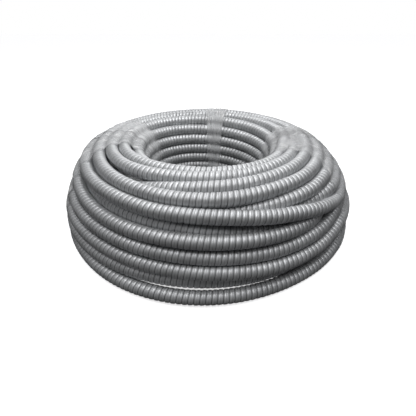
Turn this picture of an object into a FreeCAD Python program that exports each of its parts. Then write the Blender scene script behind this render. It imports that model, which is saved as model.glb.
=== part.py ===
"""Coil of flexible corrugated conduit, lying flat, held by three clear film wraps.

Units are millimetres. The coil's axis is Z, the floor is z = 0 and the viewer stands towards -Y.
The coil is one turned solid. Its section is the outline of the packed turns, so the turns show
as round ridges on the top, the outside, the bore and the underside.
"""
import FreeCAD
import Part
import Sketcher
import math
import os

V = FreeCAD.Vector

# Driving dimensions
SIZES = {
    "conduit_diameter": 14.7,   # outside diameter of the three eighths trade size
    "base_radius": 187.0,       # outside of the coil where it lies on the floor
    "eye_radius": 73.5,         # the coil's bore
    "crest_radius": 118.0,      # middle of the highest turn
    "coil_height": 106.0,
    "film_thickness": 0.3,      # several layers of stretch film; the coil lies on them
    "wide_wrap_width": 108.0,
    "narrow_wrap_width": 30.0,
}
WIDEST_STEP = 0.98      # between neighbouring turns of the outline, in conduit diameters
OUTSIDE_FULLNESS = 2.2  # 2 is an ellipse, and more is squarer
INSIDE_FULLNESS = 4.0

# Bearing of each wrap's middle from +X, anticlockwise seen from above
LEFT_WRAP_DEGREES = 177
BACK_WRAP_DEGREES = 82
RIGHT_WRAP_DEGREES = -9

doc = FreeCAD.newDocument("conduit_coil")


def make_sheet():
    """The spreadsheet that every sub-part takes its sizes from."""
    sheet = doc.addObject("Spreadsheet::Sheet", "Sizes")
    for row, (name, value) in enumerate(SIZES.items(), start=1):
        sheet.set("A%d" % row, name)
        sheet.set("B%d" % row, str(value))
        sheet.setAlias("B%d" % row, name)
    doc.recompute()
    return sheet


def origin_plane(body, role):
    for feature in body.Origin.OriginFeatures:
        if feature.Role == role:
            return feature
    raise RuntimeError("no origin plane " + role)


def new_sketch(body, name, role):
    """A sketch lying on one of its own body's origin planes."""
    sketch = body.newObject("Sketcher::SketchObject", name)
    sketch.AttachmentSupport = [(origin_plane(body, role), "")]
    sketch.MapMode = "FlatFace"
    return sketch


class Place:
    """Middle of one turn in the coil's section, as values and as formulas in the sheet's names."""

    def __init__(self, base_name, side, share_out, share_up):
        """Shares run from the crest out to the base turn's radius, and from the base turn up."""
        conduit = SIZES["conduit_diameter"]
        crest = SIZES["crest_radius"]
        reach = SIZES[base_name] - side * conduit / 2 - crest
        x = crest + reach * share_out
        z = SIZES["film_thickness"] + conduit / 2 + (SIZES["coil_height"] - conduit) * share_up
        self.point = V(x, z, 0)
        self.x_formula = ("Sizes.crest_radius + (Sizes.%s - (%d) * Sizes.conduit_diameter / 2 "
                          "- Sizes.crest_radius) * %r" % (base_name, side, share_out))
        self.z_formula = ("Sizes.film_thickness + Sizes.conduit_diameter / 2 + "
                          "(Sizes.coil_height - Sizes.conduit_diameter) * %r" % share_up)


def steps_along(length):
    """How many steps from turn to turn fit a run of the section's outline."""
    return math.ceil(length / (WIDEST_STEP * SIZES["conduit_diameter"]))


def flank_shares(reach, rise, fullness):
    """Evenly spaced turns up one flank of the section, as shares of its reach and its rise."""
    samples = 2000
    shares = []
    travelled = [0.0]
    for i in range(samples + 1):
        angle = math.pi / 2 * i / samples
        out = max(math.cos(angle), 0.0) ** (2 / fullness)
        up = math.sin(angle) ** (2 / fullness)
        shares.append((out, up))
        if i:
            step = math.hypot((out - shares[-2][0]) * reach, (up - shares[-2][1]) * rise)
            travelled.append(travelled[-1] + step)
    steps = steps_along(travelled[-1])
    even = []
    at = 0
    for k in range(steps + 1):
        target = travelled[-1] * k / steps
        while at < samples and travelled[at] < target:
            at += 1
        even.append(shares[at])
    return even


def section_runs():
    """Turns round the section, anticlockwise: the underside, the outside up, the inside down."""
    conduit = SIZES["conduit_diameter"]
    rise = SIZES["coil_height"] - conduit
    crest = SIZES["crest_radius"]
    out_reach = SIZES["base_radius"] - conduit / 2 - crest
    in_reach = crest - SIZES["eye_radius"] - conduit / 2
    steps = steps_along(out_reach + in_reach)
    under = [Place("eye_radius", -1, 1.0, 0.0)]
    for column in range(1, steps):
        along = (out_reach + in_reach) * column / steps - in_reach
        under.append(Place("base_radius", 1, along / out_reach, 0.0))
    outside = [Place("base_radius", 1, out, up)
               for out, up in flank_shares(out_reach, rise, OUTSIDE_FULLNESS)]
    inside = [Place("eye_radius", -1, out, up)
              for out, up in reversed(flank_shares(in_reach, rise, INSIDE_FULLNESS)[1:-1])]
    return under, outside, inside


def outer_crossing(first, second, radius):
    """Where two neighbouring turns meet on the outside of an anticlockwise outline."""
    middle = (first + second) / 2
    along = second - first
    half = along.Length / 2
    outward = V(along.y, -along.x, 0).normalize()
    return middle + outward * math.sqrt(radius ** 2 - half ** 2)


class Rules:
    """Gathers a sketch's constraints and their formulas, and adds them all at once."""

    def __init__(self, sketch):
        self.sketch = sketch
        self.constraints = []
        self.formulas = []

    def add(self, constraint, formula=None):
        self.constraints.append(constraint)
        self.formulas.append(formula)

    def pin_arc(self, number, place, radius, formula):
        """Hold an arc's radius and middle to the sheet."""
        self.add(Sketcher.Constraint("Radius", number, radius), formula)
        self.add(Sketcher.Constraint("DistanceX", -1, 1, number, 3, place.point.x), place.x_formula)
        self.add(Sketcher.Constraint("DistanceY", -1, 1, number, 3, place.point.y), place.z_formula)

    def apply(self):
        self.sketch.addConstraint(self.constraints)
        for number, formula in enumerate(self.formulas):
            if formula:
                self.sketch.setExpression("Constraints[%d]" % number, formula)


def arc_between(centre, start, end, radius):
    """The anticlockwise arc about a centre from one point to another."""
    first = start - centre
    last = end - centre
    begin_angle = math.atan2(first.y, first.x)
    end_angle = math.atan2(last.y, last.x)
    if end_angle < begin_angle:
        end_angle += 2 * math.pi
    return Part.ArcOfCircle(Part.Circle(centre, V(0, 0, 1), radius), begin_angle, end_angle)


def add_coil():
    """The whole coil as one turned solid with its bore."""
    body = doc.addObject("PartDesign::Body", "ConduitCoil")
    body.Label = "conduit_coil"
    sketch = new_sketch(body, "TurnOutline", "XZ_Plane")
    radius = SIZES["conduit_diameter"] / 2
    under, outside, inside = section_runs()
    places = under + outside + inside
    count = len(places)
    meets = []
    for i, place in enumerate(places):
        following = places[(i + 1) % count]
        meets.append(outer_crossing(place.point, following.point, radius))
    arcs = [arc_between(place.point, meets[i - 1], meets[i], radius) for i, place in enumerate(places)]
    sketch.addGeometry(arcs, False)
    rules = Rules(sketch)
    for i, place in enumerate(places):
        rules.add(Sketcher.Constraint("Coincident", i, 2, (i + 1) % count, 1))
        rules.pin_arc(i, place, radius, "Sizes.conduit_diameter / 2")
    rules.apply()
    turned = body.newObject("PartDesign::Revolution", "TurnedCoil")
    turned.Profile = sketch
    turned.ReferenceAxis = (sketch, ["V_Axis"])
    turned.Angle = 360.0
    doc.recompute()
    return body


def add_film_line(rules, places, radius, formula):
    """A closed line drawn tight round the wrapped turns, at one distance from their middles."""
    sketch = rules.sketch
    count = len(places)
    first = sketch.GeometryCount
    points = [place.point for place in places]
    sides = []
    for i, point in enumerate(points):
        along = (points[(i + 1) % count] - point).normalize()
        sides.append(V(along.y, -along.x, 0) * radius)
    arcs = [arc_between(point, point + sides[i - 1], point + sides[i], radius)
            for i, point in enumerate(points)]
    runs = [Part.LineSegment(point + sides[i], points[(i + 1) % count] + sides[i])
            for i, point in enumerate(points)]
    sketch.addGeometry(arcs + runs, False)
    for i, place in enumerate(places):
        run = first + count + i
        rules.add(Sketcher.Constraint("Tangent", first + i, 2, run, 1))
        rules.add(Sketcher.Constraint("Tangent", run, 2, first + (i + 1) % count, 1))
        rules.pin_arc(first + i, place, radius, formula)


def add_wrap(label, bearing, width_name):
    """A closed band of film round the coil's section, drawn tight over the turns it touches."""
    name = label.title().replace("_", "")
    body = doc.addObject("PartDesign::Body", name)
    body.Label = label
    section = new_sketch(body, name + "Section", "XZ_Plane")
    radius = SIZES["conduit_diameter"] / 2
    rules = Rules(section)
    under, outside, inside = section_runs()
    places = under[:1] + outside + inside
    add_film_line(rules, places, radius, "Sizes.conduit_diameter / 2")
    add_film_line(rules, places, radius + SIZES["film_thickness"],
                  "Sizes.conduit_diameter / 2 + Sizes.film_thickness")
    rules.apply()
    band = body.newObject("PartDesign::Revolution", name + "Band")
    band.Profile = section
    band.ReferenceAxis = (section, ["V_Axis"])
    band.Midplane = True
    band.setExpression("Angle", "Sizes.%s / Sizes.crest_radius * 180 / pi" % width_name)
    turn = FreeCAD.Rotation(V(0, 0, 1), bearing)
    body.Placement = FreeCAD.Placement(V(0, 0, 0), turn)
    doc.recompute()
    return body


def check(objects):
    """Stop on any feature that failed or any shape that isn't a sound solid."""
    for item in doc.Objects:
        if "Invalid" in item.State or "Error" in item.State:
            raise RuntimeError(item.Name + " didn't compute")
    for item in objects:
        if item.Shape.isNull() or not item.Shape.isValid() or len(item.Shape.Solids) != 1:
            raise RuntimeError(item.Label + " isn't one sound solid")


def main():
    make_sheet()
    parts = [
        add_coil(),
        add_wrap("film_wrap_left", LEFT_WRAP_DEGREES, "wide_wrap_width"),
        add_wrap("film_wrap_back", BACK_WRAP_DEGREES, "narrow_wrap_width"),
        add_wrap("film_wrap_right", RIGHT_WRAP_DEGREES, "wide_wrap_width"),
    ]
    doc.recompute()
    check(parts)
    os.makedirs("parts", exist_ok=True)
    for item in parts:
        item.Shape.exportStep("parts/" + item.Label + ".step")
        box = item.Shape.BoundBox
        print(item.Label, "volume", round(item.Shape.Volume), "mm3; box",
              round(box.XLength, 1), round(box.YLength, 1), round(box.ZLength, 1))


main()
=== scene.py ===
import math

import bmesh
import bpy
import numpy as np
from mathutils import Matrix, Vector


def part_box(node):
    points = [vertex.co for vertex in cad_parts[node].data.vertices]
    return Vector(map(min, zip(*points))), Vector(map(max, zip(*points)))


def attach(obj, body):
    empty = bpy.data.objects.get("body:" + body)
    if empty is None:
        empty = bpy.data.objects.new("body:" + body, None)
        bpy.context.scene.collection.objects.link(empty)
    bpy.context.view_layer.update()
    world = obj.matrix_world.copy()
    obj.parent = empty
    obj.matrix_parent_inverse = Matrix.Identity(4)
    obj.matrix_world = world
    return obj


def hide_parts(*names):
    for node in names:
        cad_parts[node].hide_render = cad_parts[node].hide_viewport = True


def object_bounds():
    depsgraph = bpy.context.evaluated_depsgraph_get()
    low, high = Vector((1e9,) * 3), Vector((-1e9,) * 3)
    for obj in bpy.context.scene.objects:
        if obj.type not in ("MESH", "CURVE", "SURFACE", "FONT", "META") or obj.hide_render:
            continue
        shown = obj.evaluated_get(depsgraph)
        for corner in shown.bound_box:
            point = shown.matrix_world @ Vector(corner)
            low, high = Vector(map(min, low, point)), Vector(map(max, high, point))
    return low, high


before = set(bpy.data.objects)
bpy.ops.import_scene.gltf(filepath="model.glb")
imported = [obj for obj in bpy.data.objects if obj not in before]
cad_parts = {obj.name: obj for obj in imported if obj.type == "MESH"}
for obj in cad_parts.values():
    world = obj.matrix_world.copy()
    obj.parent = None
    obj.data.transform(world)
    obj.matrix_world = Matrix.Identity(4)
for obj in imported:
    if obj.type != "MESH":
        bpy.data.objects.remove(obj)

bl_info = {
    "name": "Coil of corrugated conduit",
    "version": (1, 0, 0),
    "blender": (4, 5, 0),
    "location": "3D View > Sidebar > Conduit coil",
    "description": "Lays a coil of ribbed metal conduit with its clear film wraps",
    "category": "Add Mesh",
}

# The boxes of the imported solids
CAD_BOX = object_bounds()
CAD_BOX_TOP = float(CAD_BOX[1][2])
COIL_LOW, COIL_HIGH = (np.array(corner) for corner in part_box("conduit_coil"))

# The section of the coil through the middles of its outer turns, in conduit diameters.
# A lane is a distance along that line from the crest: above nought down the outside,
# below nought down the bore, and past the outer base along the underside.
OUTSIDE_FULLNESS = 2.2
# The outside's fullness at each bearing: the film draws the shoulder in at the sides
DRAWN_FULLNESS = ((-180, 2.05), (-150, 1.95), (-120, 2.1), (-90, 2.2), (-50, 2.2), (-20, 1.85),
                  (0, 1.65), (25, 1.6), (45, 1.8), (65, 2.2), (115, 2.2), (145, 2.0), (180, 2.05))
INSIDE_FULLNESS = 4.0
EYE_RADIUS_M = 0.0735
CREST_RADIUS_M = 0.118
BEARINGS = 30           # route points in each turn; the first is at -180 degrees, the photo's left

# Middles of the buried turns where each crosses the photo's left, as radius and height in diameters
BURIED_TURNS = (
    (7.6, 4.9), (8.6, 4.9), (9.5, 4.3), (9.9, 3.3), (8.9, 3.6), (7.9, 3.8), (6.9, 3.6),
    (6.8, 2.5), (7.8, 2.6), (8.8, 2.5), (9.8, 2.1), (8.6, 1.5), (7.0, 1.5),
)
BURIED_END = (5.7, 1.2)
# Lanes of the turns up the bore, at the photo's left
BORE_LANES = (-7.6, -6.75, -5.85, -4.95, -4.0, -3.1)
# The turns in view, in the order they are wound, each as (bearing, lane, depth below the surface).
# The front is at -90 and the back at 90.
OUTER_TURNS = (
    # rim of the bore, going under the next one at the left
    ((-180, -2.3, 0), (0, -2.4, 0), (91, -1.9, 0)),
    ((-169, -0.85, 0), (-147, -0.85, 0), (-136, -1.3, 0.1), (-100, -1.7, 0), (-26, -1.9, 0),
     (-4, -2.1, 0), (91, -1.4, 0)),
    # crest
    ((-172, -0.1, 0), (-151, 0.1, 0), (-126, 0.15, 0), (-114, -0.15, 0), (-103, -0.35, 0),
     (-76, -0.35, 0), (-62, -0.55, 0), (-36, -0.7, 0), (-26, -0.9, 0), (91, -0.3, 0)),
    # comes up from under the next one just left of the front
    ((-150, 0.6, 1.5), (-130, 0.95, 1.4), (-118, 1.15, 0.7), (-109, 1.1, 0.15), (-101, 0.95, 0),
     (-79, 0.75, 0), (-53, 0.45, 0), (-41, 0.3, 0), (-28, 0, 0), (-16, -0.2, 0), (91, 0.75, 0)),
    # shoulder
    ((-171, 0.9, 0), (-152, 1.25, 0), (-136, 1.4, 0), (-122, 1.65, 0), (-104, 1.8, 0),
     (-90, 1.95, 0), (-71, 1.85, 0), (-49, 1.6, 0), (-25, 1.2, 0), (-12, 0.9, 0), (91, 1.5, 0)),
    # comes up at the front and runs to the right
    ((-150, 1.7, 0.9), (-110, 2.1, 0.8), (-85, 2.35, 0.7), (-77, 2.45, 0.5), (-64, 2.4, 0.3),
     (-43, 2.6, 0.05), (-34, 2.6, 0), (-24, 2.3, 0), (-15, 2.05, 0), (91, 2.3, 0)),
    # the strand that crosses over two others at the right
    ((-163, 2, 0), (-155, 2.35, 0), (-128, 2.35, 0), (-109, 2.45, 0), (-95, 2.6, 0),
     (-81, 2.65, 0), (-71, 2.75, 0), (-60, 3.05, 0), (-49, 3.55, -0.1), (-38, 4.1, -0.15),
     (-30, 4, -0.1), (-20, 3.6, 0), (91, 3, 0)),
    # peeps out between two at the right
    ((-150, 2.5, 1.5), (-90, 3.2, 1.6), (-60, 3.5, 1.1), (-48, 3.5, 0.5), (-38, 3.2, 0.15),
     (-32, 3.05, 0), (91, 3.2, 0.6)),
    # lies deeper, with a dark gap below it
    ((-166, 2.7, 1.3), (-152, 2.75, 1), (-140, 2.8, 0.65), (-121, 3.15, 0.8), (-105, 3.5, 1.05),
     (-90, 3.6, 1.15), (-70, 3.8, 1.2), (-30, 4.3, 1), (91, 4, 0.4)),
    # the three full turns of the front, the first two of which go under at the right
    ((-155, 3.6, 0.5), (-137, 4, 0.6), (-120, 4.15, 0.55), (-112, 4.15, 0.45), (-102, 4.25, 0.3),
     (-90, 4.3, 0.25), (-75, 4.4, 0.35), (-60, 4.5, 0.5), (-50, 4.35, 0.75), (-30, 4, 1.1),
     (91, 4.7, 0.4)),
    ((-158, 5.2, 0.2), (-150, 5.25, 0.35), (-137, 5.25, 0.5), (-119, 5.3, 0.5), (-102, 5.45, 0.5),
     (-90, 5.45, 0.45), (-75, 5.65, 0.45), (-60, 5.65, 0.5), (-50, 5.6, 0.5), (-42, 5.45, 0.5),
     (-35, 5.2, 0.55), (-15, 4.65, 0.7), (91, 5.2, 0.1)),
    ((-158, 6.4, 0.05), (-150, 6.4, 0.2), (-143, 6.4, 0.35), (-127, 6.4, 0.45), (-111, 6.45, 0.45),
     (-90, 6.5, 0.3), (-75, 6.7, 0.25), (-60, 6.8, 0.35), (-50, 6.8, 0.4), (-42, 6.65, 0.4),
     (-35, 6.45, 0.25), (-28, 6.15, 0.1), (-20, 5.75, 0), (-10, 5.35, 0), (91, 6, 0)),
    # lies deeper, over the gap where the floor shows
    ((-158, 7.4, 0.1), (-143, 7.45, 0.2), (-130, 7.45, 0.4), (-120, 7.45, 0.5), (-111, 7.45, 0.6),
     (-90, 7.45, 0.7), (-70, 7.5, 0.8), (-50, 7.5, 1.1), (-30, 7.35, 1), (91, 6.9, 0.1)),
    # the lowest turn
    ((-159, 8.6, 0.05), (-145, 8.75, 0), (-130, 8.55, 0), (-119, 8.4, 0), (-111, 8.35, 0),
     (-90, 8.4, 0), (-80, 8.6, 0), (-71, 8.7, 0), (-56, 8.85, 0), (-40, 8.85, 0), (-20, 8.6, 0.1),
     (91, 7.8, 0)),
    # stands back from the lowest turn at the front, which leaves the gap
    ((-180, 9.35, 0), (-130, 9.5, 0), (-113, 10.4, 0.5), (-78, 10.4, 0.5), (-62, 9.5, 0.1),
     (91, 9.4, 0)),
)
UNDERSIDE_LANES = (10.3, 11.25, 12.2, 13.15, 14.1)
UNDERSIDE_END = 14.6
SEEN_TO = -10           # bearings from -180 to this one are held to what the photo shows
FLANK_STEPS = 400       # on each flank of the section's line
UNDER_STEPS = 60        # and on its underside
LANE_STEP = 0.3         # on either side of a lane, to find which way the line runs there

# How the turns settle where they would overlap
ROUNDS = 440
EASE_FROM = 0.8         # share of the rounds after which the pull back to place eases
EASED_PULL = 0.4
SEEN_HOLD = 0.3         # how firmly each kind of turn keeps its place
UNSEEN_HOLD = 0.03
BURIED_HOLD = 0.01
STRAIGHTENING = 0.35    # how far a point moves to the middle of its neighbours along the turn
TOUCHING = 0.985        # distance between the middles of turns that touch, in diameters
PUSHES = 2              # in each round
LONGEST_PUSH = 0.25     # in diameters

# Shape of one rib: share across its pitch, and height from the groove's bottom to the ridge
RIB_SHAPE = ((0.0, 0.0), (0.09, 0.55), (0.26, 1.0), (0.62, 0.88), (0.89, 0.65), (1.0, 0.0))
# The shallow line where the strip folds over its neighbour, drawn as bump and as a line of painted
# shade in the metal's colour
STRIP_SEAM = ((0.0, 1.0), (0.42, 1.0), (0.5, 0.6), (0.58, 1.0), (1.0, 1.0))
SEAM_DEPTH = 0.0004
DRAWN_RIB_DEPTH = 0.0006    # of the ribs that are only bump
GROOVE_SHARE = 0.875        # radius at the bottom of a groove, of the conduit's radius
CORE_SHARE = 0.8            # radius of the inner tube where ribs are laid over it
PLAIN_SHARE = 0.98          # and where it is seen itself, between and under other turns
SIDES = 12                  # round the conduit
SHELL_COUNT = 4             # ribbed runs that share the turns in view
LEAST_FACES = 1000          # a piece with fewer has failed
JOIN_DISTANCE = 0.00001

# Finish of the zinc, with shade painted into its grooves
CLOUD_SCALE = 55.0
CLOUD_TONES = ((0.3, 0.86), (0.7, 1.1))
GRAIN_SCALE = 900.0
GRAIN_STRENGTH = 0.15
GRAIN_DEPTH = 0.0001
# Painted shade: the dark colour laid into the bottoms of the grooves and, in part, along the strip's
# fold line, where shade falls
GROOVE_SHADE_COLOUR = (0.1, 0.102, 0.105, 1)
GROOVE_SHADE_TOP = 0.65           # height on the rib at which the painted groove shade ends
ZINC_ROUGHNESS = (0.42, 0.56)
ZINC_METALLIC = 0.6

# Finish of the film, with glints painted along its folds; its creases run from nought to one
CREASE_SCALE = (22.0, 9.0, 1.0)     # round the section and across the wrap
CREASE_DEPTH = 0.0016
FILM_EDGES = ((0.0, 0.7), (0.1, 1.0), (0.9, 1.0), (1.0, 0.7))   # milkiness across the wrap
FILM_MILK = (0.4, 0.75, 0.8, 2.0)           # a range of creases, and the milkiness it gives
FILM_ROUGHNESS = (0.5, 0.62, 0.45, 0.08)    # a range of creases, and the roughness it gives
GLINT_FOLDS_FROM = 0.59
GLINT_FOLDS_TO = 0.68             # creases from here up get a painted glint of white along the sharp folds


class ConduitCoilSettings(bpy.types.PropertyGroup):
    """Sizes and colours of the coil, in metres."""
    conduit_diameter: bpy.props.FloatProperty(
        name="Conduit diameter", description="Outside diameter over the ribs",
        default=0.0147, unit="LENGTH")
    conduit_length: bpy.props.FloatProperty(
        name="Conduit length", description="Length of conduit in the coil",
        default=30.5, unit="LENGTH")
    rib_pitch: bpy.props.FloatProperty(
        name="Rib pitch", description="Distance from one rib to the next",
        default=0.0053, unit="LENGTH")
    film_layer: bpy.props.FloatProperty(
        name="Film layer", description="Thickness of one drawn layer of film",
        default=0.00008, unit="LENGTH")
    zinc_colour: bpy.props.FloatVectorProperty(
        name="Zinc colour", description="Colour of the galvanised strip",
        subtype="COLOR", size=3, default=(0.57, 0.58, 0.59), min=0, max=1)
    film_colour: bpy.props.FloatVectorProperty(
        name="Film colour", description="Colour of the clear stretch film",
        subtype="COLOR", size=3, default=(0.7, 0.71, 0.72), min=0, max=1)


def settings():
    return bpy.context.scene.conduit_coil


# Materials

def new_material(name):
    material = bpy.data.materials.new(name)
    material.use_nodes = True
    nodes = material.node_tree.nodes
    return material, nodes["Principled BSDF"]


def add_node(tree, kind, **values):
    """A node with its inputs set by name and its properties by attribute."""
    node = tree.nodes.new(kind)
    for key, value in values.items():
        if key in node.inputs:
            node.inputs[key].default_value = value
        else:
            setattr(node, key, value)
    return node


def draw_curve(node, points):
    """Give a Float Curve node straight runs through the points."""
    curve = node.mapping.curves[0]
    for _ in range(len(points) - 2):
        curve.points.new(0.5, 0.5)
    for handle, place in zip(curve.points, points):
        handle.location = place
        handle.handle_type = "VECTOR"
    node.mapping.update()


def curve_output(tree, source, points):
    node = add_node(tree, "ShaderNodeFloatCurve")
    draw_curve(node, points)
    tree.links.new(source, node.inputs["Value"])
    return node.outputs["Value"]


def noise_output(tree, place, **values):
    node = add_node(tree, "ShaderNodeTexNoise", **values)
    tree.links.new(place, node.inputs["Vector"])
    return node.outputs["Fac"]


def ranged_output(tree, source, limits):
    """A value mapped from one range to another; the limits are from low, from high, to low, to high."""
    node = add_node(tree, "ShaderNodeMapRange")
    for name, limit in zip(("From Min", "From Max", "To Min", "To Max"), limits):
        node.inputs[name].default_value = limit
    tree.links.new(source, node.inputs["Value"])
    return node.outputs["Result"]


def ramp_output(tree, source, low, high):
    """A ramp between two stops, each given as its place and its colour."""
    node = add_node(tree, "ShaderNodeValToRGB")
    for stop, (at, colour) in zip(node.color_ramp.elements, (low, high)):
        stop.position = at
        stop.color = (*colour, 1)
    tree.links.new(source, node.inputs["Fac"])
    return node.outputs["Color"]


def math_output(tree, operation, first, second):
    """A Math node's result; the second value is a socket or a number."""
    node = add_node(tree, "ShaderNodeMath", operation=operation)
    tree.links.new(first, node.inputs[0])
    if isinstance(second, float):
        node.inputs[1].default_value = second
    else:
        tree.links.new(second, node.inputs[1])
    return node.outputs[0]


def bump_output(tree, height, strength, depth, normal=None):
    node = add_node(tree, "ShaderNodeBump", Strength=strength, Distance=depth)
    tree.links.new(height, node.inputs["Height"])
    if normal:
        tree.links.new(normal, node.inputs["Normal"])
    return node.outputs["Normal"]


def modelled_rib(tree):
    """The height and the share across the rib, as the ribbed runs store them."""
    height = add_node(tree, "ShaderNodeAttribute", attribute_name="rib_height")
    share = add_node(tree, "ShaderNodeAttribute", attribute_name="rib_share")
    return height.outputs["Fac"], share.outputs["Fac"]


def drawn_rib(tree):
    """The same two values from the tube's UV map, wound round it as a screw."""
    wrap = add_node(tree, "ShaderNodeUVMap", uv_map="along_conduit")
    split = add_node(tree, "ShaderNodeSeparateXYZ")
    tree.links.new(wrap.outputs["UV"], split.inputs["Vector"])
    wound = math_output(tree, "ADD", split.outputs["X"], split.outputs["Y"])
    fraction = add_node(tree, "ShaderNodeMath", operation="FRACT")
    tree.links.new(wound, fraction.inputs[0])
    share = fraction.outputs[0]
    return curve_output(tree, share, RIB_SHAPE), share


def zinc_material(ribbed):
    """Satin zinc over steel strip; the plain one takes its ribs as bump from the piece's UV map."""
    material, shader = new_material("Galvanised ribs" if ribbed else "Galvanised buried turns")
    tree = material.node_tree
    links = tree.links
    colour = settings().zinc_colour
    place = add_node(tree, "ShaderNodeTexCoord").outputs["Object"]
    clouds = noise_output(tree, place, Scale=CLOUD_SCALE, Detail=3.0, Roughness=0.6)
    grain = noise_output(tree, place, Scale=GRAIN_SCALE, Detail=2.0, Roughness=0.6)
    (low, dim), (high, bright) = CLOUD_TONES
    tone = ramp_output(tree, clouds, (low, [dim * part for part in colour]),
                       (high, [min(bright * part, 1) for part in colour]))
    rise, across = modelled_rib(tree) if ribbed else drawn_rib(tree)
    # The fold line is both a bump and a painted shade line, through the groove colour mix below
    seam_bump_and_shade = curve_output(tree, across, STRIP_SEAM)
    # Painted shade: the groove colour darkens the base colour low on each rib and, in part, along the
    # fold line
    groove_shade = ranged_output(tree, rise, (0.0, GROOVE_SHADE_TOP, 0.0, 1.0))
    shaded_tone = add_node(tree, "ShaderNodeMix", data_type="RGBA")
    shaded_tone.inputs[6].default_value = GROOVE_SHADE_COLOUR
    links.new(math_output(tree, "MULTIPLY", groove_shade, seam_bump_and_shade), shaded_tone.inputs["Factor"])
    links.new(tone, shaded_tone.inputs[7])
    links.new(shaded_tone.outputs[2], shader.inputs["Base Color"])
    links.new(ranged_output(tree, grain, (0.0, 1.0) + ZINC_ROUGHNESS), shader.inputs["Roughness"])
    shader.inputs["Metallic"].default_value = ZINC_METALLIC
    normal = bump_output(tree, grain, GRAIN_STRENGTH, GRAIN_DEPTH)
    normal = bump_output(tree, seam_bump_and_shade, 1.0, SEAM_DEPTH, normal)
    if not ribbed:
        normal = bump_output(tree, rise, 1.0, DRAWN_RIB_DEPTH, normal)
    links.new(normal, shader.inputs["Normal"])
    return material


def film_material():
    """Clear stretch film in a few layers, milky where it bunches, with a painted glint of white along
    each sharp fold.
    """
    material, shader = new_material("Clear film")
    tree = material.node_tree
    links = tree.links
    place = add_node(tree, "ShaderNodeUVMap", uv_map="along_film").outputs["UV"]
    stretch = add_node(tree, "ShaderNodeMapping", Scale=CREASE_SCALE)
    links.new(place, stretch.inputs["Vector"])
    creases = noise_output(tree, stretch.outputs["Vector"], Scale=1.0, Detail=5.0, Roughness=0.6,
                           Distortion=0.7)
    split = add_node(tree, "ShaderNodeSeparateXYZ")
    links.new(place, split.inputs["Vector"])
    edges = curve_output(tree, split.outputs["Y"], FILM_EDGES)
    layer = add_node(tree, "ShaderNodeAttribute", attribute_name="film_milk")
    thin = math_output(tree, "MULTIPLY", ranged_output(tree, creases, FILM_MILK), edges)
    links.new(math_output(tree, "MULTIPLY", thin, layer.outputs["Fac"]), shader.inputs["Alpha"])
    links.new(bump_output(tree, creases, 1.0, CREASE_DEPTH), shader.inputs["Normal"])
    # Painted glint: the base colour turns white where the creases are sharpest, in place of light
    # caught by the folds
    fold_glints = ramp_output(tree, creases, (GLINT_FOLDS_FROM, settings().film_colour), (GLINT_FOLDS_TO, (1, 1, 1)))
    links.new(fold_glints, shader.inputs["Base Color"])
    links.new(ranged_output(tree, creases, FILM_ROUGHNESS), shader.inputs["Roughness"])
    shader.inputs["IOR"].default_value = 1.5
    return material


# Route of the conduit

class CoilSection:
    """The line through the middles of the outer turns, walked in lanes of one diameter."""

    def __init__(self, diameter):
        self.floor = (COIL_LOW[2] / diameter) + 0.5
        self.rise = (COIL_HIGH[2] - COIL_LOW[2]) / diameter - 1
        self.crest = CREST_RADIUS_M / diameter
        self.outer = (COIL_HIGH[0] / diameter) - 0.5
        self.inner = EYE_RADIUS_M / diameter + 0.5
        bearings = -180 + 360 * np.arange(BEARINGS) / BEARINGS
        self.drawn = np.interp(bearings, *np.array(DRAWN_FULLNESS).T)
        angle = np.linspace(0, math.pi / 2, FLANK_STEPS)
        inside = self.flank(angle, self.inner - self.crest, INSIDE_FULLNESS)
        outside = self.flank(angle, self.outer - self.crest, OUTSIDE_FULLNESS)[::-1]
        under_r = np.linspace(self.outer, self.inner, UNDER_STEPS)
        under = np.stack([under_r, np.full(UNDER_STEPS, self.floor)], 1)
        self.line = np.vstack([inside[:-1], outside[:-1], under])
        steps = np.hypot(*np.diff(self.line, axis=0).T)
        run = np.concatenate([[0], np.cumsum(steps)])
        self.run = run - run[len(inside) - 1]

    def flank(self, angle, reach, fullness):
        out = self.crest + reach * np.cos(angle).clip(0) ** (2 / fullness)
        up = self.floor + self.rise * np.sin(angle) ** (2 / fullness)
        return np.stack([out, up], 1)

    def on_line(self, lane):
        return np.stack([np.interp(lane, self.run, self.line[:, k]) for k in (0, 1)], -1)

    def place(self, lane, depth):
        """A turn's middle, at a lane and a depth below the surface turns."""
        along = self.on_line(lane + LANE_STEP) - self.on_line(lane - LANE_STEP)
        along /= np.linalg.norm(along, axis=-1, keepdims=True)
        inward = np.stack([along[..., 1], -along[..., 0]], -1)
        return self.on_line(lane) + inward * depth[..., None]

    def keep_in(self, spots):
        """Bring middles that have left the section back to its edge."""
        out = spots[..., 0] - self.crest
        up = np.maximum(spots[..., 1] - self.floor, 0)
        reach = np.where(out > 0, self.outer - self.crest, self.crest - self.inner)
        fullness = np.where(out > 0, self.drawn, INSIDE_FULLNESS)
        size = (np.abs(out) / reach) ** fullness + (up / self.rise) ** fullness
        shrink = np.where(size > 1, size.clip(1) ** (-1 / fullness), 1)
        return np.stack([self.crest + out * shrink, self.floor + up * shrink], -1)


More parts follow.
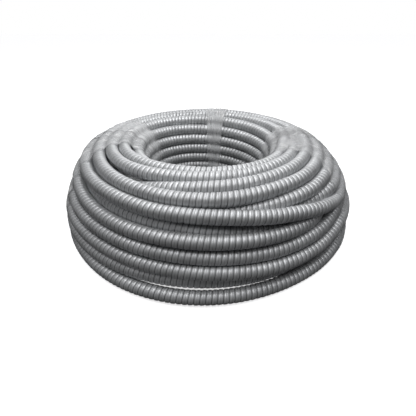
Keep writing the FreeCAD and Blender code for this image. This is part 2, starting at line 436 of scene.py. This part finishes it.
def wound_turns(section):
    """Where each turn would lie at each bearing, and how firmly it is held there."""
    bearings = -180 + 360 * np.arange(BEARINGS) / BEARINGS
    share = (bearings + 180) / 360
    buried = []
    ends = BURIED_TURNS[1:] + (BURIED_END,)
    for (radius, height), (next_radius, next_height) in zip(BURIED_TURNS, ends):
        buried.append(np.stack([radius + (next_radius - radius) * share,
                                height + (next_height - height) * share], 1))
    keys = [(turn * 360, lane, 0) for turn, lane in enumerate(BORE_LANES)]
    first_outer = len(BORE_LANES)
    for turn, spots in enumerate(OUTER_TURNS, first_outer):
        keys += [(turn * 360 + bearing + 180, lane, depth) for bearing, lane, depth in spots]
    first_under = first_outer + len(OUTER_TURNS)
    for turn, lane in enumerate(UNDERSIDE_LANES, first_under):
        keys.append((turn * 360, lane, 0))
    count = first_under + len(UNDERSIDE_LANES)
    keys.append((count * 360, UNDERSIDE_END, 0))
    wound, lanes, depths = np.array(keys, float).T
    angles = np.arange(count * BEARINGS) * 360 / BEARINGS
    lane = np.interp(angles, wound, lanes)
    depth = np.interp(angles, wound, depths)
    lying = section.place(lane, depth).reshape(count, BEARINGS, 2)
    hold = np.full((count, BEARINGS), UNSEEN_HOLD)
    hold[first_outer:first_under, bearings <= SEEN_TO] = SEEN_HOLD
    spots = np.concatenate([np.array(buried), lying])
    held = np.concatenate([np.full((len(buried), BEARINGS), BURIED_HOLD), hold])
    return spots, held


def settle_turns(section, spots, hold):
    """Push turns that overlap apart, smooth each along its run, and keep all in the section."""
    count = len(spots)
    same = np.eye(count, dtype=bool)[..., None]
    yielding = hold[None] / (hold[:, None] + hold[None])
    goal = spots.copy()
    for step in range(ROUNDS):
        ease = 1.0 if step < ROUNDS * EASE_FROM else EASED_PULL
        spots = spots + (goal - spots) * hold[..., None] * ease
        run = spots.reshape(-1, 2)
        middle = run.copy()
        middle[1:-1] = (run[:-2] + run[2:]) / 2
        spots = (run + (middle - run) * STRAIGHTENING * ease).reshape(count, BEARINGS, 2)
        for _ in range(PUSHES):
            apart = spots[:, None] - spots[None]
            distance = np.sqrt((apart ** 2).sum(-1)) + 1e-9
            overlap = np.where(same, 0, (TOUCHING - distance).clip(0))
            push = (apart / distance[..., None] * (overlap * yielding)[..., None]).sum(1)
            spots = section.keep_in(spots + push.clip(-LONGEST_PUSH, LONGEST_PUSH))
    return spots


def coil_route(diameter):
    """Control points of the whole conduit in metres, wound from inside the coil to its underside."""
    section = CoilSection(diameter)
    spots = settle_turns(section, *wound_turns(section))
    step = 2 * math.pi / BEARINGS
    drawn_in = 0.75 + 0.25 * math.cos(step)     # how far the spline cuts inside its points
    run = spots.reshape(-1, 2)
    angle = -math.pi + step * np.arange(len(run))
    radius = run[:, 0] / drawn_in
    return np.stack([radius * np.cos(angle), radius * np.sin(angle), run[:, 1]], 1) * diameter


def spline_points(points):
    """The smooth line of the conduit, read from its NURBS spline."""
    data = bpy.data.curves.new("conduit_route", "CURVE")
    data.dimensions = "3D"
    data.resolution_u = 3
    spline = data.splines.new("NURBS")
    spline.points.add(len(points) - 1)
    spline.points.foreach_set("co", np.hstack([points, np.ones((len(points), 1))]).ravel())
    spline.order_u = 3
    spline.use_endpoint_u = True
    curve = bpy.data.objects.new("conduit_route", data)
    bpy.context.scene.collection.objects.link(curve)
    graph = bpy.context.evaluated_depsgraph_get()
    mesh = bpy.data.meshes.new_from_object(curve.evaluated_get(graph))
    line = np.empty(len(mesh.vertices) * 3)
    mesh.vertices.foreach_get("co", line)
    bpy.data.objects.remove(curve)
    bpy.data.curves.remove(data)
    bpy.data.meshes.remove(mesh)
    return line.reshape(-1, 3)


def ribbed_range(line, pitch):
    """Where the turns in view begin and end along the conduit, in whole ribs."""
    travelled = np.concatenate([[0], np.cumsum(np.linalg.norm(np.diff(line, axis=0), axis=1))])
    turns = len(BURIED_TURNS) + len(BORE_LANES) + len(OUTER_TURNS) + len(UNDERSIDE_LANES)
    along = np.linspace(0, turns, len(line))
    start = np.interp(len(BURIED_TURNS), along, travelled)
    end = np.interp(turns - len(UNDERSIDE_LANES), along, travelled)
    return math.ceil(start / pitch), math.floor(end / pitch), travelled


# Pieces of the conduit

def link_piece(name, mesh, material):
    piece = bpy.data.objects.new(name, mesh)
    bpy.context.scene.collection.objects.link(piece)
    mesh.materials.clear()
    mesh.materials.append(material)
    return piece


def tube_mesh(name, line, radii, travelled, pitch, sides=SIDES):
    """A closed tube along a line, with its length and its round as a UV map."""
    ahead = np.gradient(line, axis=0)
    ahead /= np.linalg.norm(ahead, axis=1, keepdims=True)
    across = np.cross(ahead, (0, 0, 1))
    across /= np.linalg.norm(across, axis=1, keepdims=True)
    above = np.cross(across, ahead)
    turn = np.arange(sides) * 2 * math.pi / sides
    beside = across[:, None] * np.cos(turn)[None, :, None]
    rings = line[:, None] + radii[:, None, None] * (
        beside + above[:, None] * np.sin(turn)[None, :, None])
    count = len(line)
    first = (np.arange(count - 1) * sides)[:, None] + np.arange(sides)[None]
    second = (np.arange(count - 1) * sides)[:, None] + (np.arange(sides)[None] + 1) % sides
    faces = np.stack([first, second, second + sides, first + sides], -1).reshape(-1, 4)
    mesh = bpy.data.meshes.new(name)
    ends = [list(range(sides))[::-1], list(range((count - 1) * sides, count * sides))]
    mesh.from_pydata(rings.reshape(-1, 3).tolist(), [], faces.tolist() + ends)
    layer = mesh.uv_layers.new(name="along_conduit")
    along = travelled / pitch
    here = np.repeat(np.arange(count - 1), sides)
    side = np.tile(np.arange(sides), count - 1)
    corner_u = np.stack([along[here], along[here], along[here + 1], along[here + 1]], 1)
    corner_v = np.stack([side, side + 1, side + 1, side], 1) / sides
    uv = np.stack([corner_u, corner_v], -1).reshape(-1, 2)
    caps = np.zeros((2 * sides, 2))
    layer.uv.foreach_set("vector", np.vstack([uv, caps]).ravel())
    mesh.shade_smooth()
    return mesh


class ConduitLay:
    """The route once worked out, shared by the pieces that follow it."""
    line = None
    travelled = None
    ribs_from = 0
    ribs_to = 0


class CONDUIT_OT_lay_conduit(bpy.types.Operator):
    """Lay the whole length of conduit as one tube, thinner where ribbed turns go over it"""
    bl_idname = "conduit.lay_conduit"
    bl_label = "Lay the conduit"

    def execute(self, context):
        size = settings()
        diameter = size.conduit_diameter
        line = spline_points(coil_route(diameter))
        ribs_from, ribs_to, travelled = ribbed_range(line, size.rib_pitch)
        ConduitLay.line = line
        ConduitLay.travelled = travelled
        ConduitLay.ribs_from = ribs_from
        ConduitLay.ribs_to = ribs_to
        under_ribs = ((travelled > (ribs_from + 0.5) * size.rib_pitch)
                      & (travelled < (ribs_to - 0.5) * size.rib_pitch))
        radii = diameter / 2 * np.where(under_ribs, CORE_SHARE, PLAIN_SHARE)
        mesh = tube_mesh("conduit_tube", line, radii, travelled, size.rib_pitch)
        if len(mesh.polygons) < LEAST_FACES:
            raise RuntimeError("the conduit wasn't laid")
        link_piece("conduit_tube", mesh, zinc_material(ribbed=False))
        return {"FINISHED"}


def rib_tree(material):
    """Geometry nodes that wind a ribbed strip along a line, one rib to each turn of the strip."""
    tree = bpy.data.node_groups.new("Wind ribbed strip", "GeometryNodeTree")
    face = tree.interface
    face.new_socket("Line", in_out="INPUT", socket_type="NodeSocketGeometry")
    for name in ("First Rib", "Ribs", "Sides"):
        face.new_socket(name, in_out="INPUT", socket_type="NodeSocketInt")
    for name in ("Pitch", "Radius", "Groove Radius"):
        face.new_socket(name, in_out="INPUT", socket_type="NodeSocketFloat")
    face.new_socket("Ribbed Strip", in_out="OUTPUT", socket_type="NodeSocketGeometry")
    inlet = tree.nodes.new("NodeGroupInput")
    outlet = tree.nodes.new("NodeGroupOutput")
    links = tree.links
    across = len(RIB_SHAPE)

    def math_node(operation, first, second=None, third=None):
        node = tree.nodes.new("ShaderNodeMath")
        node.operation = operation
        for socket, value in zip(node.inputs, (first, second, third)):
            if value is None:
                continue
            if isinstance(value, (int, float)):
                socket.default_value = value
            else:
                links.new(value, socket)
        return node.outputs[0]

    def vector_scaled(vector, amount):
        node = tree.nodes.new("ShaderNodeVectorMath")
        node.operation = "SCALE"
        links.new(vector, node.inputs[0])
        links.new(amount, node.inputs["Scale"])
        return node.outputs[0]

    def vector_pair(operation, first, second):
        node = tree.nodes.new("ShaderNodeVectorMath")
        node.operation = operation
        links.new(first, node.inputs[0])
        links.new(second, node.inputs[1])
        return node.outputs[0]

    steps = math_node("MULTIPLY_ADD", inlet.outputs["Ribs"], inlet.outputs["Sides"], 1)
    sheet = tree.nodes.new("GeometryNodeMeshGrid")
    links.new(steps, sheet.inputs["Vertices X"])
    sheet.inputs["Vertices Y"].default_value = across
    index = tree.nodes.new("GeometryNodeInputIndex").outputs[0]
    step = math_node("FLOOR", math_node("DIVIDE", math_node("ADD", index, 0.5), float(across)))
    row = math_node("SUBTRACT", index, math_node("MULTIPLY", step, float(across)))
    share = math_node("DIVIDE", row, float(across - 1))
    spread = tree.nodes.new("ShaderNodeFloatCurve")
    spread.label = "Where across the rib"
    even = [k / (across - 1) for k in range(across)]
    draw_curve(spread, list(zip(even, [at for at, _ in RIB_SHAPE])))
    links.new(share, spread.inputs["Value"])
    height = tree.nodes.new("ShaderNodeFloatCurve")
    height.label = "How high"
    draw_curve(height, list(zip(even, [up for _, up in RIB_SHAPE])))
    links.new(share, height.inputs["Value"])

    wound = math_node("DIVIDE", step, inlet.outputs["Sides"])
    rib = math_node("ADD", math_node("ADD", wound, spread.outputs["Value"]),
                    inlet.outputs["First Rib"])
    length = math_node("MULTIPLY", rib, inlet.outputs["Pitch"])
    whole = tree.nodes.new("GeometryNodeMeshToCurve")
    links.new(inlet.outputs["Line"], whole.inputs["Mesh"])
    upright = tree.nodes.new("GeometryNodeSetCurveNormal")
    upright.mode = "Z_UP"
    links.new(whole.outputs["Curve"], upright.inputs["Curve"])
    sample = tree.nodes.new("GeometryNodeSampleCurve")
    sample.mode = "LENGTH"
    links.new(upright.outputs["Curve"], sample.inputs["Curves"])
    links.new(length, sample.inputs["Length"])

    angle = math_node("MULTIPLY", wound, 2 * math.pi)
    rise = math_node("SUBTRACT", inlet.outputs["Radius"], inlet.outputs["Groove Radius"])
    radius = math_node("MULTIPLY_ADD", height.outputs["Value"], rise, inlet.outputs["Groove Radius"])
    beside = vector_scaled(sample.outputs["Normal"],
                           math_node("MULTIPLY", radius, math_node("COSINE", angle)))
    cross = vector_pair("CROSS_PRODUCT", sample.outputs["Normal"], sample.outputs["Tangent"])
    above = vector_scaled(cross, math_node("MULTIPLY", radius, math_node("SINE", angle)))
    spot = vector_pair("ADD", sample.outputs["Position"], vector_pair("ADD", beside, above))

    named = tree.nodes.new("GeometryNodeStoreNamedAttribute")
    named.inputs["Name"].default_value = "rib_height"
    links.new(sheet.outputs["Mesh"], named.inputs["Geometry"])
    links.new(height.outputs["Value"], named.inputs["Value"])
    shared = tree.nodes.new("GeometryNodeStoreNamedAttribute")
    shared.inputs["Name"].default_value = "rib_share"
    links.new(named.outputs["Geometry"], shared.inputs["Geometry"])
    links.new(spread.outputs["Value"], shared.inputs["Value"])
    moved = tree.nodes.new("GeometryNodeSetPosition")
    links.new(shared.outputs["Geometry"], moved.inputs["Geometry"])
    links.new(spot, moved.inputs["Position"])
    joined = tree.nodes.new("GeometryNodeMergeByDistance")
    joined.inputs["Distance"].default_value = JOIN_DISTANCE
    links.new(moved.outputs["Geometry"], joined.inputs["Geometry"])
    smooth = tree.nodes.new("GeometryNodeSetShadeSmooth")
    links.new(joined.outputs["Geometry"], smooth.inputs["Geometry"])
    real = tree.nodes.new("GeometryNodeRealizeInstances")
    links.new(smooth.outputs["Geometry"], real.inputs["Geometry"])
    finish = tree.nodes.new("GeometryNodeSetMaterial")
    finish.inputs["Material"].default_value = material
    links.new(real.outputs["Geometry"], finish.inputs["Geometry"])
    links.new(finish.outputs["Geometry"], outlet.inputs["Ribbed Strip"])
    return tree


def turn_outwards(mesh, open_ends=False):
    """Turn a shell's faces outwards, after filling its ends where it has open ones."""
    work = bmesh.new()
    work.from_mesh(mesh)
    if open_ends:
        rims = [edge for edge in work.edges if edge.is_boundary]
        bmesh.ops.holes_fill(work, edges=rims, sides=0)
    bmesh.ops.recalc_face_normals(work, faces=work.faces)
    work.to_mesh(mesh)
    work.free()


class CONDUIT_OT_wind_ribs(bpy.types.Operator):
    """Wind the interlocked strip over the turns in view, in runs that meet at whole ribs"""
    bl_idname = "conduit.wind_ribs"
    bl_label = "Wind the ribs"

    def execute(self, context):
        size = settings()
        material = zinc_material(ribbed=True)
        tree = rib_tree(material)
        sockets = {item.name: item.identifier for item in tree.interface.items_tree
                   if item.in_out == "INPUT"}
        points = ConduitLay.line
        route = bpy.data.meshes.new("route_points")
        edges = [(k, k + 1) for k in range(len(points) - 1)]
        route.from_pydata(points.tolist(), edges, [])
        tube = bpy.data.objects["conduit_tube"]
        cuts = np.linspace(ConduitLay.ribs_from, ConduitLay.ribs_to, SHELL_COUNT + 1).astype(int)
        for number, (first, last) in enumerate(zip(cuts[:-1], cuts[1:]), start=1):
            carrier = bpy.data.objects.new("rib_carrier", route)
            bpy.context.scene.collection.objects.link(carrier)
            modifier = carrier.modifiers.new("Wind", "NODES")
            modifier.node_group = tree
            modifier[sockets["First Rib"]] = int(first)
            modifier[sockets["Ribs"]] = int(last - first)
            modifier[sockets["Sides"]] = SIDES
            modifier[sockets["Pitch"]] = size.rib_pitch
            modifier[sockets["Radius"]] = size.conduit_diameter / 2
            modifier[sockets["Groove Radius"]] = size.conduit_diameter / 2 * GROOVE_SHARE
            graph = bpy.context.evaluated_depsgraph_get()
            mesh = bpy.data.meshes.new_from_object(carrier.evaluated_get(graph))
            bpy.data.objects.remove(carrier)
            if len(mesh.polygons) < LEAST_FACES:
                raise RuntimeError("the ribbed strip didn't wind")
            turn_outwards(mesh, open_ends=True)
            shell = link_piece("ribbed_run_%d" % number, mesh, material)
            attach(shell, "root")
        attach(tube, "root")
        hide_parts("conduit_coil")
        return {"FINISHED"}


# Film

# Each wrap: node, bearing of its middle, half its width in degrees, seed, and the layers as
# (shift of the middle, share of the width, lean from the bore to the outside, milkiness)
FILM_WRAPS = (
    ("film_wrap_left", 177.0, 25.0, 5,
     ((0.0, 1.0, 2.0, 0.28), (-5.0, 0.5, -6.0, 0.2), (-7.0, 0.36, 5.0, 0.5))),
    ("film_wrap_back", 82.0, 7.3, 11,
     ((0.0, 1.0, -2.0, 0.3), (1.5, 0.7, 4.0, 0.3))),
    ("film_wrap_right", -9.0, 25.0, 17,
     ((0.0, 1.0, -3.0, 0.22), (6.0, 0.6, 5.0, 0.12), (12.0, 0.35, -5.0, 0.15))),
)
FILM_ALONG = 210            # points round the section
FILM_ACROSS = 16            # and across a wrap
FACING_STEP = 4             # degrees between the directions from which the film is drawn tight
KNOWN_BEARINGS = 6          # where the film's line is worked out in each column of points
SAG_SHARE = 0.6             # how much of the room between two turns the film sags into
DEEPEST_SAG = 0.4           # in conduit radii
LEAN_START = 0.6            # radians round the section at which a layer leans furthest
WAVY_EDGE = (0.08, 0.05)    # of two waves round the section, in half widths of the wrap
CRUMPLES = ((9, 3), (17, -5), (5, 11))      # waves across the wrap and round the section
CRUMPLE_HEIGHT = 0.0003
FIRST_LIFT = 0.00025        # of the first layer off the turns, and of each next one off the last
NEXT_LIFT = 0.00022
FLOOR_LIFT = 0.00002        # of the outermost layer, where the coil lies on it
FLOOR_STEP = 0.00008        # and of each layer in from it
CREASE_SHIFT = 3.7          # between the creases of one layer and the next


def turns_at(bearing):
    """Middles of all turns at a bearing in degrees, as radius and height in metres."""
    line = ConduitLay.line
    angle = np.degrees(np.unwrap(np.arctan2(line[:, 1], line[:, 0])))
    angle = np.maximum.accumulate(angle)
    first = math.ceil((angle[0] - bearing) / 360) * 360 + bearing
    wanted = np.arange(first, angle[-1], 360)
    radius = np.hypot(line[:, 0], line[:, 1])
    return np.stack([np.interp(wanted, angle, radius), np.interp(wanted, angle, line[:, 2])], 1)


def tight_line(middles, reach, directions):
    """The line drawn tight round the turns, in even steps."""
    support = (middles @ directions.T).max(0) + reach
    spots = []
    for k in range(len(directions)):
        a, b = directions[k - 1], directions[k]
        det = a[0] * b[1] - a[1] * b[0]
        spots.append(((support[k - 1] * b[1] - support[k] * a[1]) / det,
                      (support[k] * a[0] - support[k - 1] * b[0]) / det))
    spots = np.array(spots)
    closed = np.vstack([spots, spots[:1]])
    run = np.concatenate([[0], np.cumsum(np.hypot(*np.diff(closed, axis=0).T))])
    even = np.linspace(0, run[-1], FILM_ALONG, endpoint=False)
    return np.stack([np.interp(even, run, closed[:, k]) for k in (0, 1)], 1)


def film_outline(middles, reach, directions):
    """The film's line round the section, sagging a little between turns, and its way inwards."""
    line = tight_line(middles, reach, directions)
    along = np.roll(line, -1, 0) - np.roll(line, 1, 0)
    along /= np.linalg.norm(along, axis=1, keepdims=True)
    inward = np.stack([-along[:, 1], along[:, 0]], 1)
    room = np.full(len(line), 1.0)
    for middle in middles:
        gap = line - middle
        ahead = -(gap * inward).sum(1)
        aside = np.abs(gap[:, 0] * inward[:, 1] - gap[:, 1] * inward[:, 0])
        deep = ahead - np.sqrt((reach ** 2 - aside ** 2).clip(0))
        room = np.where(aside < reach, np.minimum(room, deep), room)
    sag = (room * SAG_SHARE).clip(0, reach * DEEPEST_SAG)
    sag = (np.roll(sag, 1) + sag + np.roll(sag, -1)) / 3
    return line + inward * sag[:, None], inward


def turned_about_axis(flat, radians):
    """Points given as radius and height, each turned to its own bearing."""
    return np.stack([flat[:, 0] * np.cos(radians), flat[:, 0] * np.sin(radians), flat[:, 1]], 1)


def outlines_across(turned, reach, directions):
    """The film's line and its way inwards, blended from a few bearings to the wavy ones."""
    low = math.floor(turned.min())
    high = math.ceil(turned.max())
    known = np.linspace(low, high, KNOWN_BEARINGS)
    sheets = np.array([np.hstack(film_outline(turns_at(at), reach, directions)) for at in known])
    slot = (turned - low) / (high - low) * (len(known) - 1)
    base = np.floor(slot).astype(int).clip(0, len(known) - 2)
    part = (slot - base)[:, None]
    points = np.arange(FILM_ALONG)
    return sheets[base, points] * (1 - part) + sheets[base + 1, points] * part


def film_column(side, number, waves, middle, half, lean):
    """One column of a layer's points, and the way inwards at each."""
    angles = np.radians(np.arange(0, 360, FACING_STEP))
    directions = np.stack([np.cos(angles), np.sin(angles)], 1)
    along = np.linspace(0, 2 * math.pi, FILM_ALONG, endpoint=False)
    edge = (1 + WAVY_EDGE[0] * np.sin(2 * along + waves[0])
            + WAVY_EDGE[1] * np.sin(5 * along + waves[1]))
    turned = middle + lean * np.cos(along + LEAN_START) + side * half * edge
    mixed = outlines_across(turned, settings().conduit_diameter / 2, directions)
    crumple = CRUMPLE_HEIGHT * sum(np.sin(across * side + round_it * along + wave)
                                   for (across, round_it), wave in zip(CRUMPLES, waves[2:]))
    lift = FIRST_LIFT + number * NEXT_LIFT + crumple.clip(0, 1)
    radians = np.radians(turned)
    return (turned_about_axis(mixed[:, :2] - mixed[:, 2:] * lift[:, None], radians),
            turned_about_axis(mixed[:, 2:], radians))


def layer_points(number, count, waves, middle, half, lean):
    """The outer and the inner points of one layer of film."""
    sides = [column / (FILM_ACROSS - 1) * 2 - 1 for column in range(FILM_ACROSS)]
    columns = [film_column(side, number, waves, middle, half, lean) for side in sides]
    outer = np.array([spots for spots, _ in columns])
    inwards = np.array([inward for _, inward in columns])
    floor = FLOOR_LIFT + FLOOR_STEP * (count - 1 - number)
    outer[..., 2] = outer[..., 2].clip(floor, CAD_BOX_TOP)
    inner = outer + inwards * settings().film_layer
    return outer.reshape(-1, 3), inner.reshape(-1, 3)


def layer_faces(first, number):
    """The faces of one layer as a closed shell, and the UV place of each corner."""
    inner = FILM_ACROSS * FILM_ALONG
    last = inner - FILM_ALONG
    shift = number * CREASE_SHIFT
    faces, uvs = [], []
    for column in range(FILM_ACROSS - 1):
        v0, v1 = column / FILM_ACROSS, (column + 1) / FILM_ACROSS
        for k in range(FILM_ALONG):
            a = column * FILM_ALONG + k
            b = column * FILM_ALONG + (k + 1) % FILM_ALONG
            c, d = a + FILM_ALONG, b + FILM_ALONG
            faces += [(a, b, d, c), (inner + a, inner + c, inner + d, inner + b)]
            u0, u1 = k / FILM_ALONG + shift, (k + 1) / FILM_ALONG + shift
            uvs += [(u0, v0), (u1, v0), (u1, v1), (u0, v1)]
            uvs += [(u0, v0), (u0, v1), (u1, v1), (u1, v0)]
    for k in range(FILM_ALONG):
        n = (k + 1) % FILM_ALONG
        faces += [(n, k, inner + k, inner + n),
                  (last + k, last + n, inner + last + n, inner + last + k)]
        uvs += [(0, 0)] * 8
    return [[first + corner for corner in face] for face in faces], uvs


def film_mesh(name, bearing, half, seed, layers):
    """All layers of one wrap as one mesh of closed shells."""
    rng = np.random.default_rng(seed)
    verts, faces, uvs, milky = [], [], [], []
    shell = 2 * FILM_ACROSS * FILM_ALONG
    for number, (shift, width, lean, milk) in enumerate(layers):
        waves = rng.uniform(0, 2 * math.pi, 6)
        verts += layer_points(number, len(layers), waves, bearing + shift, half * width, lean)
        new_faces, new_uvs = layer_faces(number * shell, number)
        faces += new_faces
        uvs += new_uvs
        milky.append(np.full(shell, milk))
    mesh = bpy.data.meshes.new(name)
    mesh.from_pydata(np.vstack(verts).tolist(), [], faces)
    opacity = mesh.attributes.new("film_milk", "FLOAT", "POINT")
    opacity.data.foreach_set("value", np.concatenate(milky))
    layer = mesh.uv_layers.new(name="along_film")
    layer.uv.foreach_set("vector", np.array(uvs, float).ravel())
    turn_outwards(mesh)
    mesh.shade_smooth()
    return mesh


class CONDUIT_OT_stretch_film(bpy.types.Operator):
    """Stretch crumpled clear film round the coil at its three places"""
    bl_idname = "conduit.stretch_film"
    bl_label = "Stretch the film"

    def execute(self, context):
        material = film_material()
        for node, bearing, half, seed, layers in FILM_WRAPS:
            mesh = film_mesh(node + "_film", bearing, half, seed, layers)
            if len(mesh.polygons) < LEAST_FACES:
                raise RuntimeError("the film didn't stretch round " + node)
            piece = link_piece(node + "_film", mesh, material)
            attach(piece, "root")
            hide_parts(node)
        return {"FINISHED"}


# Stage

CAMERA_LENS = 25.6
CAMERA_SHIFT = 0.0103
CAMERA_TILT = 33.1      # degrees down from level
CAMERA_AWAY = 0.438     # from the point it looks at
CAMERA_DROP = 0.0128    # how far that point lies under the middle of the coil's underside
# How light the room is towards each height, nought being level and one overhead; the highest
# comes second. The camera itself sees plain white
ROOM_LIGHT = ((0.3, 0.0), (1.0, 0.45), (0.5, 0.15), (0.65, 0.5))
ROOM_BLUE = 1.02        # how much bluer than grey the room is
FLOOR_REACH = 6.0
FLOOR_SEEN = 0.95
FLOOR_BOUNCE = 0.03     # how much of the light the floor gives back to the coil
FLOOR_GLOW = 0.7        # lifts the pale floor to white in view; the shadow stays
MIRRORED_SHARE = 0.05   # how white the background is in the metal; the rest is the room's own light
# Name, power, width and place of each lamp; all point at the middle of the coil
LAMPS = (
    ("top_lamp", 7.0, 0.8, (0.0, -0.35, 1.3)),
    ("back_lamp", 9.0, 1.4, (0.1, 1.6, 0.9)),
    ("front_lamp", 1.6, 0.4, (0.3, -1.0, 1.6)),
    ("left_lamp", 0.6, 0.8, (-1.4, -0.3, 0.7)),
    ("eye_lamp", 0.4, 0.2, (0.0, 0.0, 0.4)),
)
LAMPS_AIM = (0.0, 0.0, 0.05)


def seen_or_mirrored(tree):
    """One for what the camera sees, also through film, and a share for what the metal mirrors."""
    path = add_node(tree, "ShaderNodeLightPath")
    mirrored = math_output(tree, "MULTIPLY", path.outputs["Is Glossy Ray"], MIRRORED_SHARE)
    either = math_output(tree, "MAXIMUM", path.outputs["Is Camera Ray"], mirrored)
    return math_output(tree, "MAXIMUM", either, path.outputs["Is Transmission Ray"])


def set_camera(scene):
    camera = bpy.data.cameras.new("photo_camera")
    camera.lens = CAMERA_LENS
    camera.sensor_width = 36.0
    camera.shift_y = CAMERA_SHIFT
    eye = bpy.data.objects.new("photo_camera", camera)
    tilt = math.radians(CAMERA_TILT)
    eye.location = (0, -CAMERA_AWAY * math.cos(tilt), CAMERA_AWAY * math.sin(tilt) - CAMERA_DROP)
    eye.rotation_euler = (math.pi / 2 - tilt, 0, 0)
    scene.collection.objects.link(eye)
    scene.camera = eye


def light_room(scene):
    """A room that is dark low down and lighter overhead, and plain white in view."""
    world = bpy.data.worlds.new("soft_room")
    world.use_nodes = True
    tree = world.node_tree
    room = tree.nodes["Background"]
    around = add_node(tree, "ShaderNodeTexCoord")
    split = add_node(tree, "ShaderNodeSeparateXYZ")
    tree.links.new(around.outputs["Generated"], split.inputs["Vector"])
    sky = add_node(tree, "ShaderNodeValToRGB")
    sky.color_ramp.interpolation = "EASE"
    stops = sky.color_ramp.elements
    for number, (at, level) in enumerate(ROOM_LIGHT):
        stop = stops[number] if number < 2 else stops.new(at)
        stop.position = at
        stop.color = (level, level, level * ROOM_BLUE, 1)
    tree.links.new(split.outputs["Z"], sky.inputs["Fac"])
    shown = add_node(tree, "ShaderNodeMix", data_type="RGBA")
    tree.links.new(seen_or_mirrored(tree), shown.inputs["Factor"])
    tree.links.new(sky.outputs["Color"], shown.inputs[6])
    shown.inputs[7].default_value = (1, 1, 1, 1)
    tree.links.new(shown.outputs[2], room.inputs["Color"])
    room.inputs["Strength"].default_value = 1.0
    scene.world = world


def lay_floor():
    """A floor that is pale in view and gives little light back."""
    mesh = bpy.data.meshes.new("floor")
    corners = [(x * FLOOR_REACH, y * FLOOR_REACH, 0) for x, y in ((-1, -1), (1, -1), (1, 1), (-1, 1))]
    mesh.from_pydata(corners, [], [(0, 1, 2, 3)])
    material, shader = new_material("Pale floor")
    tree = material.node_tree
    in_view = seen_or_mirrored(tree)
    tone = add_node(tree, "ShaderNodeMix", data_type="RGBA")
    tone.inputs[6].default_value = (FLOOR_BOUNCE, FLOOR_BOUNCE, FLOOR_BOUNCE, 1)
    tone.inputs[7].default_value = (FLOOR_SEEN, FLOOR_SEEN, FLOOR_SEEN, 1)
    tree.links.new(in_view, tone.inputs["Factor"])
    tree.links.new(tone.outputs[2], shader.inputs["Base Color"])
    tree.links.new(tone.outputs[2], shader.inputs["Emission Color"])
    tree.links.new(math_output(tree, "MULTIPLY", in_view, FLOOR_GLOW),
                   shader.inputs["Emission Strength"])
    shader.inputs["Roughness"].default_value = 0.9
    shader.inputs["Specular IOR Level"].default_value = 0.0
    link_piece("floor", mesh, material)


def hang_lamps(scene):
    for name, power, width, spot in LAMPS:
        light = bpy.data.lights.new(name, "AREA")
        light.energy = power
        light.size = width
        lamp = bpy.data.objects.new(name, light)
        lamp.location = spot
        lamp.visible_camera = False
        aim = np.array(LAMPS_AIM) - np.array(spot)
        lamp.rotation_euler = (math.atan2(math.hypot(aim[0], aim[1]), -aim[2]), 0,
                               math.atan2(aim[1], aim[0]) - math.pi / 2)
        scene.collection.objects.link(lamp)


class CONDUIT_OT_set_stage(bpy.types.Operator):
    """Set the pale floor, the soft lights and the camera"""
    bl_idname = "conduit.set_stage"
    bl_label = "Set the stage"

    def execute(self, context):
        scene = bpy.context.scene
        scene.view_settings.view_transform = "Standard"
        set_camera(scene)
        light_room(scene)
        lay_floor()
        hang_lamps(scene)
        return {"FINISHED"}


# Panel and running

class CONDUIT_PT_coil(bpy.types.Panel):
    """Sizes of the coil and the steps that make it"""
    bl_idname = "CONDUIT_PT_coil"
    bl_label = "Conduit coil"
    bl_space_type = "VIEW_3D"
    bl_region_type = "UI"
    bl_category = "Conduit coil"

    def draw(self, context):
        layout = self.layout
        size = context.scene.conduit_coil
        for name in ConduitCoilSettings.__annotations__:
            layout.prop(size, name)
        for operator in STEPS:
            layout.operator(operator.bl_idname)


STEPS = (CONDUIT_OT_set_stage, CONDUIT_OT_lay_conduit, CONDUIT_OT_wind_ribs, CONDUIT_OT_stretch_film)
CLASSES = (ConduitCoilSettings,) + STEPS + (CONDUIT_PT_coil,)


def register():
    for kind in CLASSES:
        bpy.utils.register_class(kind)
    bpy.types.Scene.conduit_coil = bpy.props.PointerProperty(type=ConduitCoilSettings)


def unregister():
    del bpy.types.Scene.conduit_coil
    for kind in reversed(CLASSES):
        bpy.utils.unregister_class(kind)


def main():
    register()
    bpy.ops.conduit.set_stage()
    bpy.ops.conduit.lay_conduit()
    bpy.ops.conduit.wind_ribs()
    bpy.ops.conduit.stretch_film()


if __name__ == "__main__":
    main()
